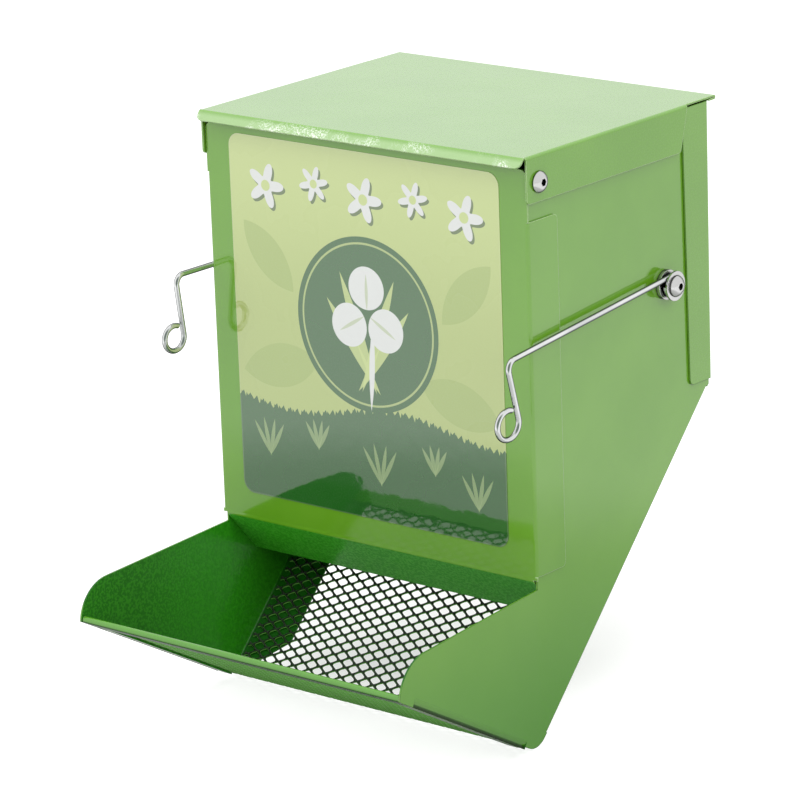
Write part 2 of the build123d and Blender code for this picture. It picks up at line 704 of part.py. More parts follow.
# The left hook is formed as a right one with its own bends, then mirrored.
droop = math.radians(left_droop)
splay = math.radians(left_splay)
lean = math.radians(left_lean)
leg_x = left_arm - left_leg * math.sin(lean)
leg_y = -hook_eye_radius + left_leg * math.cos(lean)
arm_dir = Vector(math.sin(splay), -math.cos(splay) * math.cos(droop), -math.cos(splay) * math.sin(droop))
hook_face = Plane(
    origin=(hook_wire_x, hook_pivot_y, hook_pivot_z),
    x_dir=arm_dir,
    z_dir=arm_dir.cross(Vector(0, math.sin(droop), -math.cos(droop))),
)
with BuildPart() as left_hook:
    with BuildLine(hook_face) as left_wire:
        CenterArc((0, 0), hook_eye_radius, -90 - hook_eye_turn, hook_eye_turn)
        FilletPolyline(arm_foot, (left_arm, -hook_eye_radius), (leg_x, leg_y), radius=hook_corner_radius)
    with BuildSketch(Plane(left_wire.line @ 0, z_dir=left_wire.line % 0)):
        Circle(wire_radius)
    sweep(path=left_wire.line)
    leg_end = hook_face.from_local_coords(Vector(leg_x, leg_y, 0))
    leg_dir = hook_face.from_local_coords(Vector(leg_x - math.sin(lean), leg_y + math.cos(lean), 0)) - leg_end
    ahead = hook_face.from_local_coords(Vector(leg_x + math.cos(lean), leg_y + math.sin(lean), 0)) - leg_end
    ahead = ahead.rotate(Axis((0, 0, 0), leg_dir), -left_twist)
    loop_face = Plane(leg_end + ahead * left_loop_radius, x_dir=-ahead, z_dir=ahead.cross(leg_dir))
    with BuildLine(loop_face) as left_loop:
        CenterArc((0, 0), left_loop_radius, 0, -left_loop_turn)
    with BuildSketch(Plane(left_loop.line @ 0, z_dir=left_loop.line % 0)):
        Circle(wire_radius)
    sweep(path=left_loop.line)
    mirror(about=Plane.YZ, mode=Mode.REPLACE)
left_hook.part.label = "left_hook"
export_step(left_hook.part, "parts/left_hook.step")
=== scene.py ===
import math

import bpy
from mathutils import Euler, Matrix, Vector


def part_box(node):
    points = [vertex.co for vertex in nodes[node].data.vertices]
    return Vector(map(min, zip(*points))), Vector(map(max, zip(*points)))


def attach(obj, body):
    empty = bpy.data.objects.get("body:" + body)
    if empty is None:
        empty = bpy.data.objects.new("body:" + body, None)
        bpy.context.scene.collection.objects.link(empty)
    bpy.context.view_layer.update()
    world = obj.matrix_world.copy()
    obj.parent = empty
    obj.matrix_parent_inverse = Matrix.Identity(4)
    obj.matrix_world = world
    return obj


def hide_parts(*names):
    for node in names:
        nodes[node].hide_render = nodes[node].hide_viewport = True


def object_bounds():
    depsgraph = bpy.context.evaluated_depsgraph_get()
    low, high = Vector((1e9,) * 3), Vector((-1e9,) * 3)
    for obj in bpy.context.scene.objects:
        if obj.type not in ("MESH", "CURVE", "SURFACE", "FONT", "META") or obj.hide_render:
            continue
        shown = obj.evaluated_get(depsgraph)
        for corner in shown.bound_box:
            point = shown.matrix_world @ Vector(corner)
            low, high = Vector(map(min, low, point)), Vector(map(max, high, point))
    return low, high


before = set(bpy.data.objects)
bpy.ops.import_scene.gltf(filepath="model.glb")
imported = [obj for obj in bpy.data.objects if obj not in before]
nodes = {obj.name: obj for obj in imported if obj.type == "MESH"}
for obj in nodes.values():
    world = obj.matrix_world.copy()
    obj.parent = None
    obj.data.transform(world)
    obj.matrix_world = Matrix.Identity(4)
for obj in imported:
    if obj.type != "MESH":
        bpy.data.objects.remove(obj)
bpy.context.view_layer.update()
bpy.context.scene.view_settings.view_transform = "Standard"

# ---- Camera --------------------------------------------------------------------------------------------
# A long lens from the front right, a little above the lid, turned slightly off level.
view_azimuth = math.radians(39.711)
view_elevation = math.radians(16.569)
view_roll = math.radians(-2.064)
view_distance = 1.62805
view_target = Vector((0.0001, 0.01708, -0.02702))
lens_length = 196.31
sensor_width = 36.0
nearest_seen = 0.05
farthest_seen = 60.0
towards_camera = Vector((
    math.sin(view_azimuth) * math.cos(view_elevation),
    -math.cos(view_azimuth) * math.cos(view_elevation),
    math.sin(view_elevation),
))
camera_data = bpy.data.cameras.new("camera")
camera_data.lens = lens_length
camera_data.sensor_width = sensor_width
camera_data.clip_start = nearest_seen
camera_data.clip_end = farthest_seen
camera = bpy.data.objects.new("camera", camera_data)
bpy.context.scene.collection.objects.link(camera)
camera.location = view_target + towards_camera * view_distance
level = Euler((math.pi / 2 - view_elevation, 0, view_azimuth)).to_matrix()
camera.rotation_euler = (level @ Matrix.Rotation(view_roll, 3, "Z")).to_euler()
bpy.context.scene.camera = camera

# ---- Studio --------------------------------------------------------------------------------------------
# White surroundings, a pale floor and three soft boxes. The world is white behind the object and in its
# gloss, and gives a softer light to the surfaces.
backdrop_white = 1.0
ambient_light = 0.80


def calc(tree, operation, *values):
    """A Math node. Each value is a number or another node's socket."""
    node = tree.nodes.new("ShaderNodeMath")
    node.operation = operation
    for place, value in enumerate(values):
        if isinstance(value, (int, float)):
            node.inputs[place].default_value = value
        else:
            tree.links.new(value, node.inputs[place])
    return node.outputs[0]


def white_light(tree, strength):
    """A white background of a given strength."""
    node = tree.nodes.new("ShaderNodeBackground")
    node.inputs["Color"].default_value = (1, 1, 1, 1)
    node.inputs["Strength"].default_value = strength
    return node.outputs[0]


def ray_kinds(tree):
    """Whether a ray comes from the camera, and whether it comes from gloss or glass."""
    rays = tree.nodes.new("ShaderNodeLightPath").outputs
    return rays["Is Camera Ray"], calc(tree, "MAXIMUM", rays["Is Glossy Ray"], rays["Is Transmission Ray"])


world = bpy.data.worlds.new("studio")
bpy.context.scene.world = world
world.use_nodes = True
tree = world.node_tree
tree.nodes.clear()
from_camera, from_gloss = ray_kinds(tree)
choose = tree.nodes.new("ShaderNodeMixShader")
tree.links.new(calc(tree, "MAXIMUM", from_camera, from_gloss), choose.inputs["Fac"])
tree.links.new(white_light(tree, ambient_light), choose.inputs[1])
tree.links.new(white_light(tree, backdrop_white), choose.inputs[2])
output = tree.nodes.new("ShaderNodeOutputWorld")
tree.links.new(choose.outputs[0], output.inputs["Surface"])

# The floor is matt and pale, and lies just under the fold at the bottom of the trough. It glows for the
# rays that see it, but less round a point under the box, as a painted shadow. In gloss and glass it glows
# only outside a disc round the object, a painted shadow that keeps its reflections dark.
floor_size = 8.0
floor_drop = 0.0005
floor_grey = 0.50
floor_glow = 0.75
shadow_middle = (0.0, 0.0, 0.0)
shadow_inner = 0.25
shadow_outer = 0.38
mirrored_share = 0.62
# Painted shadow: the glow dims round a point under the box.
painted_shadow_centre = (-0.03, 0.09, 0.0)
painted_shadow_inner = 0.05
painted_shadow_outer = 0.11
painted_shadow_glow = 0.68


def ramp(tree, value, low, high, to_low=0.0, to_high=1.0):
    """A smooth step of a value between two limits. Each entry is a number or another node's socket."""
    node = tree.nodes.new("ShaderNodeMapRange")
    node.interpolation_type = "SMOOTHSTEP"
    for label, entry in (("Value", value), ("From Min", low), ("From Max", high),
                         ("To Min", to_low), ("To Max", to_high)):
        if isinstance(entry, (int, float)):
            node.inputs[label].default_value = entry
        else:
            tree.links.new(entry, node.inputs[label])
    return node.outputs["Result"]


def new_material(name):
    """A new material, its node tree and its Principled shader."""
    material = bpy.data.materials.new(name)
    material.use_nodes = True
    tree = material.node_tree
    return material, tree, tree.nodes["Principled BSDF"]


def object_place(tree):
    """The place on the piece, in metres."""
    return tree.nodes.new("ShaderNodeTexCoord").outputs["Object"]


def distance_from(tree, point):
    """How far the place on the piece is from a point."""
    node = tree.nodes.new("ShaderNodeVectorMath")
    node.operation = "DISTANCE"
    node.inputs[1].default_value = point
    tree.links.new(object_place(tree), node.inputs[0])
    return node.outputs["Value"]


bpy.ops.object.select_all(action="DESELECT")
bpy.ops.mesh.primitive_plane_add(size=floor_size, location=(0, 0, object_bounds()[0].z - floor_drop))
floor = bpy.context.object
floor.name = "floor"
floor_paint, tree, matt = new_material("floor")
matt.inputs["Base Color"].default_value = (floor_grey, floor_grey, floor_grey, 1)
matt.inputs["Roughness"].default_value = 1.0
matt.inputs["Specular IOR Level"].default_value = 0.0
from_camera, from_gloss = ray_kinds(tree)
# Painted shadow in gloss and glass: no glow in a disc round the object.
outside = ramp(tree, distance_from(tree, shadow_middle), shadow_inner, shadow_outer, 0.0, mirrored_share)
# Painted shadow under the box, seen through the expanded metal.
under = ramp(tree, distance_from(tree, painted_shadow_centre), painted_shadow_inner, painted_shadow_outer, painted_shadow_glow, 1.0)
shown = calc(tree, "MAXIMUM", calc(tree, "MULTIPLY", from_camera, under),
             calc(tree, "MULTIPLY", from_gloss, outside))
glow = tree.nodes.new("ShaderNodeEmission")
tree.links.new(calc(tree, "MULTIPLY", shown, floor_glow), glow.inputs["Strength"])
lit = tree.nodes.new("ShaderNodeAddShader")
tree.links.new(matt.outputs[0], lit.inputs[0])
tree.links.new(glow.outputs[0], lit.inputs[1])
tree.links.new(lit.outputs[0], tree.nodes["Material Output"].inputs["Surface"])
floor.data.materials.append(floor_paint)


def soft_box(name, place, side, watts):
    """A square soft box aimed at the feeder. Neither the camera nor the gloss sees it."""
    lamp = bpy.data.lights.new(name, "AREA")
    lamp.shape = "RECTANGLE"
    lamp.size = side
    lamp.size_y = side
    lamp.energy = watts
    box = bpy.data.objects.new(name, lamp)
    bpy.context.scene.collection.objects.link(box)
    box.location = place
    box.rotation_euler = (-Vector(place)).to_track_quat("-Z", "Y").to_euler()
    box.visible_camera = False
    box.visible_glossy = False


soft_box("top_box", (0.0, -0.1, 1.6), side=1.8, watts=17.0)
soft_box("left_box", (-1.3, -1.5, 0.6), side=1.4, watts=13.0)
soft_box("right_box", (1.45, -0.40, 0.85), side=1.0, watts=8.6)

# ---- Sheet-metal box: side panels, front panel and back panel ------------------------------------------
# Cold-rolled steel sheet, 0.7 mm, bent on a brake and then sprayed with a glossy green enamel. The coat has
# a fine orange peel. Its cut edges get a painted highlight, and on the side and back panels painted shade
# instead. The faces inside the box get only a dry coat.
enamel_green = (0.136, 0.346, 0.017, 1)
enamel_deep = (0.120, 0.320, 0.012, 1)
# Painted shade: the enamel turns darker towards the bottom of the box, between two heights.
enamel_painted_shade = (0.066, 0.258, 0.005, 1)
painted_shade_heights = (-0.060, -0.140)
# Edge colours: a painted highlight, painted shade, and a darker painted shadow for the back panel's gaps.
edge_painted_highlight = (0.600, 0.790, 0.440, 1)
edge_painted_shade = (0.036, 0.130, 0.012, 1)
edge_painted_gap_shadow = (0.016, 0.075, 0.008, 1)
edge_radius = 0.0004
edge_samples = 6
edge_turn = (0.995, 0.88)
edge_reach = 0.9
edge_coat = 0.25
edge_coat_range = (0.0, 0.6)
enamel_roughness = (0.24, 0.30)
enamel_ior = 1.5
enamel_specular = 0.12
coat_ior = 1.8
coat_roughness = 0.05
front_coat_roughness = 0.09
peel_size = 0.0011
peel_depth = 0.0045
ripple_size = 0.030
ripple_depth = 0.16
cloud_scale = 24.0
cloud_range = (0.32, 0.68)
speckle_scale = 1500.0
speckle_range = (0.45, 0.62)
millimetre = 0.001

# The dry coat on the faces inside the box. The one on the baffle is brighter, as painted light, and its
# bright grit is a painted glint.
dry_green = (0.013, 0.150, 0.003, 1)
dry_grit = (0.030, 0.240, 0.008, 1)
dry_gloss = 0.45
baffle_painted_light_green = (0.034, 0.330, 0.008, 1)
baffle_painted_glint = (0.120, 0.560, 0.060, 1)
baffle_gloss = 0.50
# Painted shade: the upward faces inside the box, the ledges under the expanded metal, are darker.
ledge_painted_shade = (0.008, 0.120, 0.004, 1)
# Painted light: the dry coat is made lighter further back in the box, against the shade there.
dry_painted_light = (0.036, 0.400, 0.010, 1)
painted_light_depths = (-0.055, -0.005)
painted_light_share = 0.40
dry_roughness = (0.27, 0.36)
grit_size = 0.0010
grit_depth = 0.060
grit_range = (0.42, 0.60)

# How far a face's normal turns before the face counts as an inner, upper or lower one.
turned_in = (0.4, 0.8)
turned_up = (0.3, 0.6)
turned_down = (-0.3, -0.6)
bent_edge_height = (-0.085, -0.088)

# The front face is bowed in above its lower fold, by a rate in millimetres for each square metre.
bow_top = -0.030
bow_height = 0.0485
bow_rate = 665.0


def named_group(name, inputs, outputs):
    """A shader node group, the sockets of its input node and the sockets of its output node."""
    group = bpy.data.node_groups.new(name, "ShaderNodeTree")
    for label, kind, value in inputs:
        socket = group.interface.new_socket(label, in_out="INPUT", socket_type=kind)
        if value is not None:
            socket.default_value = value
    for label, kind in outputs:
        group.interface.new_socket(label, in_out="OUTPUT", socket_type=kind)
    given = group.nodes.new("NodeGroupInput").outputs
    made = group.nodes.new("NodeGroupOutput").inputs
    return group, given, made


def noise(tree, vector, scale, detail=2.0, roughness=0.5):
    """A noise texture's value. The scale is a number or another node's socket."""
    node = tree.nodes.new("ShaderNodeTexNoise")
    tree.links.new(vector, node.inputs["Vector"])
    if isinstance(scale, (int, float)):
        node.inputs["Scale"].default_value = scale
    else:
        tree.links.new(scale, node.inputs["Scale"])
    node.inputs["Detail"].default_value = detail
    node.inputs["Roughness"].default_value = roughness
    return node.outputs["Fac"]


def blend(tree, factor, below, above):
    """A mix of two colours. Each entry is a number, a colour or another node's socket."""
    node = tree.nodes.new("ShaderNodeMix")
    node.data_type = "RGBA"
    # The node has sockets of the same names for other kinds of value, so its colours are taken by number.
    for socket, entry in ((node.inputs["Factor"], factor), (node.inputs[6], below), (node.inputs[7], above)):
        if isinstance(entry, (int, float, tuple)):
            socket.default_value = entry
        else:
            tree.links.new(entry, socket)
    return node.outputs[2]


def parts(tree, vector):
    """The X, Y and Z of a vector."""
    node = tree.nodes.new("ShaderNodeSeparateXYZ")
    tree.links.new(vector, node.inputs[0])
    return node.outputs


def face_normal(tree):
    """The normal of the surface, without any bump."""
    return tree.nodes.new("ShaderNodeNewGeometry").outputs["Normal"]


def upward(tree):
    """How far the surface looks up, from -1 to 1."""
    return parts(tree, face_normal(tree))["Z"]


# The skin of a sprayed coat: orange peel and slow waves as a height in millimetres, and cloudy tone.
skin, given, made = named_group("sprayed_skin", (
    ("Vector", "NodeSocketVector", None),
    ("Peel Size", "NodeSocketFloat", peel_size),
    ("Peel Depth", "NodeSocketFloat", peel_depth),
    ("Ripple Size", "NodeSocketFloat", ripple_size),
    ("Ripple Depth", "NodeSocketFloat", ripple_depth),
), (("Height", "NodeSocketFloat"), ("Tone", "NodeSocketFloat"), ("Speckle", "NodeSocketFloat")))
peel = noise(skin, given["Vector"], calc(skin, "DIVIDE", 1.0, given["Peel Size"]), detail=1.0)
ripple = noise(skin, given["Vector"], calc(skin, "DIVIDE", 1.0, given["Ripple Size"]),
               detail=1.0, roughness=0.4)
peel_height = calc(skin, "MULTIPLY", peel, given["Peel Depth"])
skin.links.new(calc(skin, "MULTIPLY_ADD", ripple, given["Ripple Depth"], peel_height), made["Height"])
cloud = noise(skin, given["Vector"], cloud_scale, detail=3.0, roughness=0.55)
skin.links.new(ramp(skin, cloud, *cloud_range), made["Tone"])
speckle = noise(skin, given["Vector"], speckle_scale, detail=2.0, roughness=0.6)
skin.links.new(ramp(skin, speckle, *speckle_range), made["Speckle"])

# The rounded paint on edges: the bevelled normal, and a mask where it turns away from the sheet's face.
# The mask places the painted highlights and painted shade on the edges.
edge, given, made = named_group("painted_edge", (
    ("Reach", "NodeSocketFloat", edge_reach),
), (("Normal", "NodeSocketVector"), ("Mask", "NodeSocketFloat")))
rounded = edge.nodes.new("ShaderNodeBevel")
rounded.samples = edge_samples
rounded.inputs["Radius"].default_value = edge_radius
turn = edge.nodes.new("ShaderNodeVectorMath")
turn.operation = "DOT_PRODUCT"
edge.links.new(rounded.outputs["Normal"], turn.inputs[0])
edge.links.new(face_normal(edge), turn.inputs[1])
edge.links.new(rounded.outputs["Normal"], made["Normal"])
turned_away = ramp(edge, turn.outputs["Value"], *edge_turn)
edge.links.new(calc(edge, "MULTIPLY", turned_away, given["Reach"]), made["Mask"])


def place_group(tree, group, **values):
    """A group placed in a material. Each value is a number or another node's socket."""
    node = tree.nodes.new("ShaderNodeGroup")
    node.node_tree = group
    for label, value in values.items():
        socket = node.inputs[label.replace("_", " ")]
        if isinstance(value, (int, float)):
            socket.default_value = value
        else:
            tree.links.new(value, socket)
    return node.outputs


def bump(tree, height, normal, *sockets):
    """A bump over a given normal, for a height in millimetres, linked to the shader's sockets."""
    node = tree.nodes.new("ShaderNodeBump")
    node.inputs["Strength"].default_value = 1.0
    node.inputs["Distance"].default_value = millimetre
    tree.links.new(height, node.inputs["Height"])
    tree.links.new(normal, node.inputs["Normal"])
    for socket in sockets:
        tree.links.new(node.outputs["Normal"], socket)


def enamel(name, green, deep, edge_light_or_shade, peel_factor=1.0, height_of=None):
    """A glossy sprayed enamel: the material, its tree and shader, and the sockets that a piece may alter."""
    paint, tree, shader = new_material(name)
    where = object_place(tree)
    grain = place_group(tree, skin, Vector=where, Peel_Depth=peel_depth * peel_factor)
    rim = place_group(tree, edge)
    # Painted shade towards the bottom of the box.
    painted_shade_low = ramp(tree, parts(tree, where)["Z"], *painted_shade_heights)
    colour = blend(tree, painted_shade_low, blend(tree, grain["Tone"], deep, green), enamel_painted_shade)
    # Painted highlight or painted shade on the edges, by the edge colour the piece gives.
    colour = blend(tree, rim["Mask"], colour, edge_light_or_shade)
    tree.links.new(colour, shader.inputs["Base Color"])
    tree.links.new(ramp(tree, grain["Speckle"], 0.0, 1.0, *enamel_roughness), shader.inputs["Roughness"])
    height = height_of(tree, where, grain["Height"]) if height_of else grain["Height"]
    bump(tree, height, rim["Normal"], shader.inputs["Normal"], shader.inputs["Coat Normal"])
    shader.inputs["IOR"].default_value = enamel_ior
    shader.inputs["Specular IOR Level"].default_value = enamel_specular
    coat = ramp(tree, rim["Mask"], *edge_coat_range, 1.0, edge_coat)
    tree.links.new(coat, shader.inputs["Coat Weight"])
    shader.inputs["Coat Roughness"].default_value = coat_roughness
    shader.inputs["Coat IOR"].default_value = coat_ior
    return paint, tree, shader, where, colour, coat


def dress(material, *names):
    """A better finish on CAD nodes."""
    for name in names:
        nodes[name].data.materials.clear()
        nodes[name].data.materials.append(material)


def bowed(tree, where, height):
    """Adds the bow of the front face to the height."""
    fall = calc(tree, "SUBTRACT", bow_top, parts(tree, where)["Z"])
    fall = calc(tree, "MINIMUM", calc(tree, "MAXIMUM", fall, 0.0), bow_height)
    return calc(tree, "MULTIPLY_ADD", calc(tree, "POWER", fall, 2.0), -bow_rate, height)


def grit(tree, where):
    """The grain of a dry coat."""
    return noise(tree, where, 1.0 / grit_size, detail=1.0)


def gritty(looking_in):
    """Adds the grain of a dry coat to the height, where a piece looks into the box."""
    def height_of(tree, where, height):
        grain = calc(tree, "MULTIPLY", grit(tree, where), looking_in(tree, where))
        return calc(tree, "MULTIPLY_ADD", grain, grit_depth, height)
    return height_of


def side_inside(side):
    """The inner face of a side panel and the upper faces of its bent edges."""
    def looking_in(tree, where):
        inward = calc(tree, "MULTIPLY", parts(tree, face_normal(tree))["X"], side)
        wall = ramp(tree, inward, *turned_in)
        bent_edge = ramp(tree, parts(tree, where)["Z"], *bent_edge_height)
        ledge = calc(tree, "MULTIPLY", ramp(tree, upward(tree), *turned_up), bent_edge)
        return calc(tree, "MAXIMUM", wall, ledge)
    return looking_in


def baffle_inside(tree, where):
    """The underside of the front panel's lower edge, which is turned into the hopper."""
    return ramp(tree, upward(tree), *turned_down)


def bowed_and_gritty(tree, where, height):
    """The height of the front panel: bowed, with the grain of a dry coat on the baffle."""
    return bowed(tree, where, gritty(baffle_inside)(tree, where, height))


def panel(name, looking_in, edge_light_or_shade, green, grit_green, gloss_inside, height_of=None):
    """A panel in enamel whose faces inside the box have only a thin dry coat."""
    paint, tree, shader, where, colour, coat = enamel(
        name, enamel_green, enamel_deep, edge_light_or_shade, height_of=height_of or gritty(looking_in))
    inside = looking_in(tree, where)
    dry = blend(tree, ramp(tree, grit(tree, where), *grit_range), green, grit_green)
    # Painted light, further back in the box.
    painted_light_deeper = ramp(tree, parts(tree, where)["Y"], *painted_light_depths, 0.0, painted_light_share)
    dry = blend(tree, painted_light_deeper, dry, dry_painted_light)
    # Painted shade on the upward faces inside.
    dry = blend(tree, ramp(tree, upward(tree), *turned_up), dry, ledge_painted_shade)
    tree.links.new(blend(tree, inside, colour, dry), shader.inputs["Base Color"])
    thinner = calc(tree, "MULTIPLY", coat, ramp(tree, inside, 0.0, 1.0, 1.0, gloss_inside))
    tree.links.new(thinner, shader.inputs["Coat Weight"])
    tree.links.new(ramp(tree, inside, 0.0, 1.0, *dry_roughness), shader.inputs["Roughness"])
    return paint, shader


front_paint, shader = panel("front_panel_enamel", baffle_inside, edge_painted_highlight, baffle_painted_light_green, baffle_painted_glint,
                            baffle_gloss, bowed_and_gritty)
shader.inputs["Coat Roughness"].default_value = front_coat_roughness
dress(front_paint, "front_panel")
for name, side in (("left", 1.0), ("right", -1.0)):
    side_paint = panel(name + "_panel_enamel", side_inside(side), edge_painted_shade,
                       dry_green, dry_grit, dry_gloss)[0]
    dress(side_paint, name + "_side_panel")
back_paint = enamel("back_panel_enamel", enamel_green, enamel_deep, edge_painted_gap_shadow)[0]
dress(back_paint, "back_panel")

# ---- Lip strip -----------------------------------------------------------------------------------------
# A narrow channel of the same sheet, pressed flat over the front edge of the expanded metal, so that no
# cut strand is left open. It is sprayed with the box.
strip_green = (0.10, 0.32, 0.025, 1)
strip_deep = (0.08, 0.28, 0.020, 1)
# Painted shade: the faces of the strip that look down are darker.
strip_under_painted_shade = (0.016, 0.076, 0.008, 1)
strip_under_gloss = 0.05
strip_turn = (-0.1, -0.4)
strip_paint, tree, shader, where, colour, coat = enamel("strip_enamel", strip_green, strip_deep, edge_painted_highlight)
# Painted shade underneath.
below = ramp(tree, upward(tree), *strip_turn)
tree.links.new(blend(tree, below, colour, strip_under_painted_shade), shader.inputs["Base Color"])
thinner = calc(tree, "MULTIPLY", coat, ramp(tree, below, 0.0, 1.0, 1.0, strip_under_gloss))
tree.links.new(thinner, shader.inputs["Coat Weight"])
dress(strip_paint, "lip_strip")

# ---- Expanded metal base -------------------------------------------------------------------------------
# One sheet of steel, slit and stretched into diamonds, then bent at the bottom of the trough and sprayed. It
# lies on the bent edges of the side panels, and its front edge is held by the lip strip.
pitch_long = 0.0079
pitch_short = 0.0042
strand = 0.00071
hole_rounding = 0.3
hole_shortening = 0.88
hole_limit = 0.97
strand_thickness = 0.0007
strand_tilt = -0.00020
on_middle = 0.0001
off_middle = 0.0002
weld = 0.00001
sheet_half = 0.0724

# Seen from the side, the sheet runs down the slope, round a bend over the panels' fold, and up the floor.
fold_point = Vector((-0.0014, -0.1462))
slope_angle = math.radians(45.7)
floor_angle = math.radians(29.7)
mesh_depth = 0.0013
mesh_bend = 0.0063
rear_reach = 0.0750
front_reach = 0.0909
bend_steps = 16
up_slope = Vector((math.cos(slope_angle), math.sin(slope_angle)))
up_floor = Vector((-math.cos(floor_angle), math.sin(floor_angle)))
half_fold = (math.pi - slope_angle - floor_angle) / 2
middle = (up_slope + up_floor).normalized()
mesh_corner = fold_point + middle * (mesh_depth / math.sin(half_fold))
bend_centre = mesh_corner + middle * (mesh_bend / math.sin(half_fold))
bend_start = mesh_bend / math.tan(half_fold)
foot = mesh_depth / math.tan(half_fold)
rear_run = rear_reach - foot - bend_start
front_run = front_reach - foot - bend_start
bend_sweep = math.pi - 2 * half_fold
sheet_length = rear_run + mesh_bend * bend_sweep + front_run

# One diamond with its hole, and beside it a second one half a pitch on, so that rows repeat squarely.
bpy.ops.object.select_all(action="DESELECT")
bpy.ops.mesh.primitive_circle_add(vertices=4, radius=1.0, fill_type="NOTHING")
base = bpy.context.object
base.name = "expanded_metal_base"
bpy.ops.object.mode_set(mode="EDIT")
bpy.ops.mesh.select_all(action="SELECT")
bpy.ops.transform.resize(value=(pitch_long / 2, pitch_short / 2, 1))
bpy.ops.mesh.subdivide(number_cuts=2)
bpy.ops.mesh.edge_face_add()
bpy.ops.mesh.select_mode(type="FACE")
bpy.ops.mesh.inset(thickness=strand / 2)
bpy.ops.transform.tosphere(value=hole_rounding)
bpy.ops.mesh.delete(type="ONLY_FACE")
bpy.ops.object.mode_set(mode="OBJECT")


def select_tile(test):
    """Selects the vertices of the diamond by their place."""
    bpy.ops.object.mode_set(mode="EDIT")
    bpy.ops.mesh.select_mode(type="VERT")
    bpy.ops.mesh.select_all(action="DESELECT")
    bpy.ops.object.mode_set(mode="OBJECT")
    for vertex in base.data.vertices:
        vertex.select = test(vertex.co)
    bpy.ops.object.mode_set(mode="EDIT")


def is_hole(place):
    """Whether a corner of the diamond is on its hole, and not on the diamond's own outline."""
    return abs(place.x) / (pitch_long / 2) + abs(place.y) / (pitch_short / 2) < hole_limit


def mark(name, test):
    """Gives the piece an attribute that is 1 where a vertex passes the test and 0 elsewhere."""
    attribute = base.data.attributes.new(name, "FLOAT", "POINT")
    for vertex in base.data.vertices:
        attribute.data[vertex.index].value = 1.0 if test(vertex.co) else 0.0


select_tile(lambda place: is_hole(place) and abs(place.y) < on_middle)
bpy.ops.transform.resize(value=(hole_shortening, 1, 1))
bpy.ops.object.mode_set(mode="OBJECT")
# The rim attribute is 1 on the holes and 0 along the middle of the strands.
mark("rim", is_hole)
# Stretching turns each strand: one side of a hole lies down and the other side stands up.
select_tile(lambda place: is_hole(place) and place.y > off_middle)
bpy.ops.transform.translate(value=(0, 0, strand_tilt))
select_tile(lambda place: is_hole(place) and place.y < -off_middle)
bpy.ops.transform.translate(value=(0, 0, -strand_tilt))
bpy.ops.object.mode_set(mode="OBJECT")


def repeat(count, offset):
    """An array of the piece by a fixed offset, applied."""
    array = base.modifiers.new("array", "ARRAY")
    array.count = count
    array.use_relative_offset = False
    array.use_constant_offset = True
    array.constant_offset_displace = offset
    array.use_merge_vertices = True
    array.merge_threshold = weld
    bpy.ops.object.modifier_apply(modifier="array")


columns = math.ceil(2 * sheet_half / pitch_long) + 2
rows = math.ceil(sheet_length / pitch_short) + 2
repeat(2, (pitch_long / 2, pitch_short / 2, 0))
repeat(columns, (pitch_long, 0, 0))
repeat(rows, (0, pitch_short, 0))
bpy.ops.object.mode_set(mode="EDIT")
bpy.ops.mesh.select_all(action="SELECT")
bpy.ops.mesh.remove_doubles(threshold=weld)
bpy.ops.transform.translate(value=(-pitch_long * (columns // 2), -pitch_short, 0))
for place, outward in (((sheet_half, 0, 0), (1, 0, 0)), ((-sheet_half, 0, 0), (-1, 0, 0)),
                       ((0, 0, 0), (0, -1, 0)), ((0, sheet_length, 0), (0, 1, 0))):
    bpy.ops.mesh.select_all(action="SELECT")
    bpy.ops.mesh.bisect(plane_co=place, plane_no=outward, clear_outer=True, clear_inner=False)
bpy.ops.object.mode_set(mode="OBJECT")

# The flat sheet gets its thickness, and is then bent along the profile of the trough.
solid = base.modifiers.new("thickness", "SOLIDIFY")
solid.thickness = strand_thickness
solid.offset = 0.0
bpy.ops.object.modifier_apply(modifier="thickness")
# The under attribute is 1 below and 0 above, and runs from one to the other on the walls of the holes.
mark("under", lambda place: place.z < 0.0)
profile_points = [mesh_corner + up_slope * (bend_start + rear_run)]
for step in range(bend_steps + 1):
    turned = slope_angle - math.pi / 2 - bend_sweep * step / bend_steps
    profile_points.append(bend_centre + mesh_bend * Vector((math.cos(turned), math.sin(turned))))
profile_points.append(mesh_corner + up_floor * (bend_start + front_run))
profile_data = bpy.data.curves.new("trough_profile", "CURVE")
profile_data.dimensions = "3D"
profile_data.twist_mode = "Z_UP"
line = profile_data.splines.new("POLY")
line.points.add(len(profile_points) - 1)
for point, place in zip(line.points, profile_points):
    point.co = (0, place.x, place.y, 1)
    point.tilt = math.pi / 2
profile = bpy.data.objects.new("trough_profile", profile_data)
bpy.context.scene.collection.objects.link(profile)
bend = base.modifiers.new("bend", "CURVE")
bend.object = profile
bend.deform_axis = "POS_Y"
bpy.ops.object.modifier_apply(modifier="bend")
bpy.data.objects.remove(profile)
bpy.ops.object.transform_apply(location=True, rotation=True, scale=True)

# The coat is green. Painted shade makes it nearly black on top and darker still round the holes. On the
# walls and underneath it is the coat's green, made a little lighter as painted light.
strand_top_painted_shade = (0.034, 0.052, 0.032, 1)
strand_grey = (0.050, 0.070, 0.046, 1)
hole_rim_painted_shade = (0.010, 0.026, 0.010, 1)
hole_rim_shade_range = (0.30, 0.80)
strand_under_painted_light = (0.14, 0.40, 0.07, 1)
strand_under_range = (0.25, 0.60)
strand_roughness = (0.28, 0.38)
strand_specular = 0.2


def attribute_value(tree, name):
    """An attribute of the mesh."""
    node = tree.nodes.new("ShaderNodeAttribute")
    node.attribute_name = name
    return node.outputs["Fac"]


mesh_paint, tree, shader = new_material("mesh_enamel")
grain = place_group(tree, skin, Vector=object_place(tree), Peel_Size=0.0005, Peel_Depth=0.004,
                    Ripple_Depth=0.0)
